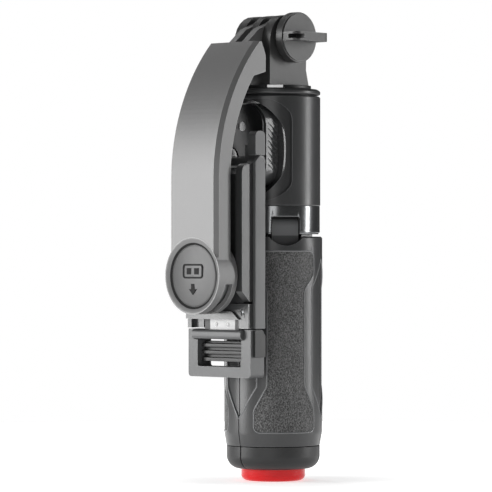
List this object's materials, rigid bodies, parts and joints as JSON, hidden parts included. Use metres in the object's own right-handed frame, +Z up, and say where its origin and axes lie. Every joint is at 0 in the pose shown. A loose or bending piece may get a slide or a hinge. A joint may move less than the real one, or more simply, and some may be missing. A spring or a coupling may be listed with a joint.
{
  "type": "camera gimbal",
  "caption": "Folded one-axis phone gimbal: three-leg grip, telescopic pole, forked neck, curved motor arm and sprung phone clamp, with a pull-out remote.",
  "frame": {"origin": "centre of the flat bottom of the round red end cap, on the grip's axis", "axes": "+Z up along the grip and the pole, -Y towards the folded arm, +X towards the tilt knob"},
  "size_m": [0.0422, 0.0662, 0.1892],
  "materials": {
    "charcoal_plastic": "satin moulded plastic with a fine grain",
    "black_plastic": "matt black moulded plastic",
    "black_gloss": "glossy black plastic",
    "grip_rubber": "fine-grained grip rubber",
    "arm_grey": "satin grey paint on cast metal",
    "neck_grey": "satin dark grey paint on cast metal",
    "polished_metal": "polished dark metal",
    "steel_tube": "polished steel tube",
    "steel_part": "plain steel",
    "red_cap": "glossy translucent red plastic",
    "white_bush": "natural acetal",
    "cell_wrap": "shrink-wrapped lithium cell",
    "board_green": "solder-masked circuit board",
    "copper_coil": "enamelled copper on a steel core"
  },
  "bodies": {
    "handle": {"base_cap": "red_cap", "centre_column": "charcoal_plastic", "outer_tube": "steel_tube", "leg_hub": "charcoal_plastic", "collar_ring": "polished_metal", "leg_pins": "steel_part", "body_shell": "charcoal_plastic", "remote_bay": "black_plastic", "top_ring": "charcoal_plastic", "pole_collar": "black_plastic"},
    "leg_1": {"leg_1": "charcoal_plastic", "leg_grip_1": "grip_rubber", "leg_foot_1": "black_plastic"},
    "leg_2": {"leg_2": "charcoal_plastic", "leg_grip_2": "grip_rubber", "leg_foot_2": "black_plastic"},
    "leg_3": {"leg_3": "charcoal_plastic", "leg_grip_3": "grip_rubber", "leg_foot_3": "black_plastic"},
    "pole_1": {"pole_1": "steel_tube", "pole_plug_1": "white_bush"},
    "pole_2": {"pole_2": "steel_tube", "pole_plug_2": "white_bush"},
    "pole_3": {"pole_3": "steel_tube", "pole_plug_3": "white_bush"},
    "head": {"pole_4": "steel_tube", "pole_plug_4": "white_bush", "neck": "neck_grey", "tilt_nut": "neck_grey"},
    "knob": {"tilt_knob": "neck_grey", "tilt_bolt": "steel_part"},
    "arm": {"arm_shell": "arm_grey", "arm_cover": "black_plastic", "cover_screws": "steel_part", "battery": "cell_wrap", "control_board": "board_green", "motor_cap": "arm_grey", "motor_stator": "copper_coil", "motor_bearings": "steel_part"},
    "clamp": {"motor_rotor": "steel_part", "clamp_body": "charcoal_plastic", "clamp_bracket": "charcoal_plastic", "clamp_back": "black_plastic", "clamp_rails": "charcoal_plastic", "clamp_spring": "steel_part", "clamp_screws": "steel_part", "upper_jaw_pin": "steel_part"},
    "slider": {"slide_tongue": "steel_part", "knuckle_bar": "charcoal_plastic", "tongue_rivets": "steel_part"},
    "lower_jaw": {"lower_jaw": "charcoal_plastic", "jaw_grip": "black_plastic", "jaw_pin": "steel_part"},
    "upper_jaw": {"upper_jaw": "charcoal_plastic"},
    "remote": {"remote_shell": "charcoal_plastic", "remote_face": "black_gloss", "remote_board": "board_green"},
    "power_button": {"power_button": "black_gloss"},
    "thumb_key": {"thumb_key": "black_gloss"}
  },
  "joints": [
    {"name": "leg_1_open", "type": "hinge", "parent": "handle", "child": "leg_1", "pos_m": [0.01212, -0.007, 0.103], "axis": [-0.5, -0.866, 0], "range_deg": [0, 70]},
    {"name": "leg_2_open", "type": "hinge", "parent": "handle", "child": "leg_2", "pos_m": [0, 0.014, 0.103], "axis": [1, 0, 0], "range_deg": [0, 70]},
    {"name": "leg_3_open", "type": "hinge", "parent": "handle", "child": "leg_3", "pos_m": [-0.01212, -0.007, 0.103], "axis": [-0.5, 0.866, 0], "range_deg": [0, 70]},
    {"name": "pole_slide_1", "type": "slide", "parent": "handle", "child": "pole_1", "axis": [0, 0, 1], "range_m": [0, 0.11]},
    {"name": "pole_slide_2", "type": "slide", "parent": "pole_1", "child": "pole_2", "axis": [0, 0, 1], "range_m": [0, 0.11]},
    {"name": "pole_slide_3", "type": "slide", "parent": "pole_2", "child": "pole_3", "axis": [0, 0, 1], "range_m": [0, 0.11]},
    {"name": "pole_slide_4", "type": "slide", "parent": "pole_3", "child": "head", "axis": [0, 0, 1], "range_m": [0, 0.11]},
    {"name": "knob_turn", "type": "hinge", "parent": "head", "child": "knob", "pos_m": [0.014, 0, 0.1791], "axis": [1, 0, 0], "continuous": true},
    {"name": "arm_tilt", "type": "hinge", "parent": "head", "child": "arm", "pos_m": [0, 0, 0.1791], "axis": [-1, 0, 0], "range_deg": [0, 180]},
    {"name": "roll", "type": "hinge", "parent": "arm", "child": "clamp", "pos_m": [0, -0.038, 0.0831], "axis": [0, 1, 0], "range_deg": [-150, 150]},
    {"name": "jaw_slide", "type": "slide", "parent": "clamp", "child": "slider", "axis": [0, 0, -1], "range_m": [0, 0.028], "stiffness_N_per_m": 250, "springref_m": -0.02, "deforming": ["clamp_spring"]},
    {"name": "lower_jaw_fold", "type": "hinge", "parent": "slider", "child": "lower_jaw", "pos_m": [0, -0.025, 0.06005], "axis": [1, 0, 0], "range_deg": [0, 90]},
    {"name": "upper_jaw_fold", "type": "hinge", "parent": "clamp", "child": "upper_jaw", "pos_m": [0, -0.0244, 0.1286], "axis": [-1, 0, 0], "range_deg": [0, 90]},
    {"name": "remote_pull", "type": "slide", "parent": "handle", "child": "remote", "axis": [0, -1, 0], "range_m": [0, 0.012]},
    {"name": "power_press", "type": "slide", "parent": "remote", "child": "power_button", "axis": [0, 1, 0], "range_m": [0, 0.0004], "stiffness_N_per_m": 1500, "springref_m": -0.0004},
    {"name": "key_press", "type": "slide", "parent": "remote", "child": "thumb_key", "axis": [0, 1, 0], "range_m": [0, 0.0005], "stiffness_N_per_m": 1500, "springref_m": -0.0004}
  ],
  "couplings": [
    {"joint": "leg_1_open", "follows": "arm_tilt", "ratio": 0.3888},
    {"joint": "leg_3_open", "follows": "arm_tilt", "ratio": 0.3888},
    {"joint": "lower_jaw_fold", "follows": "arm_tilt", "ratio": 0.5},
    {"joint": "upper_jaw_fold", "follows": "arm_tilt", "ratio": 0.5},
    {"joint": "remote_pull", "follows": "arm_tilt", "m_per_rad": 0.003819}
  ]
}
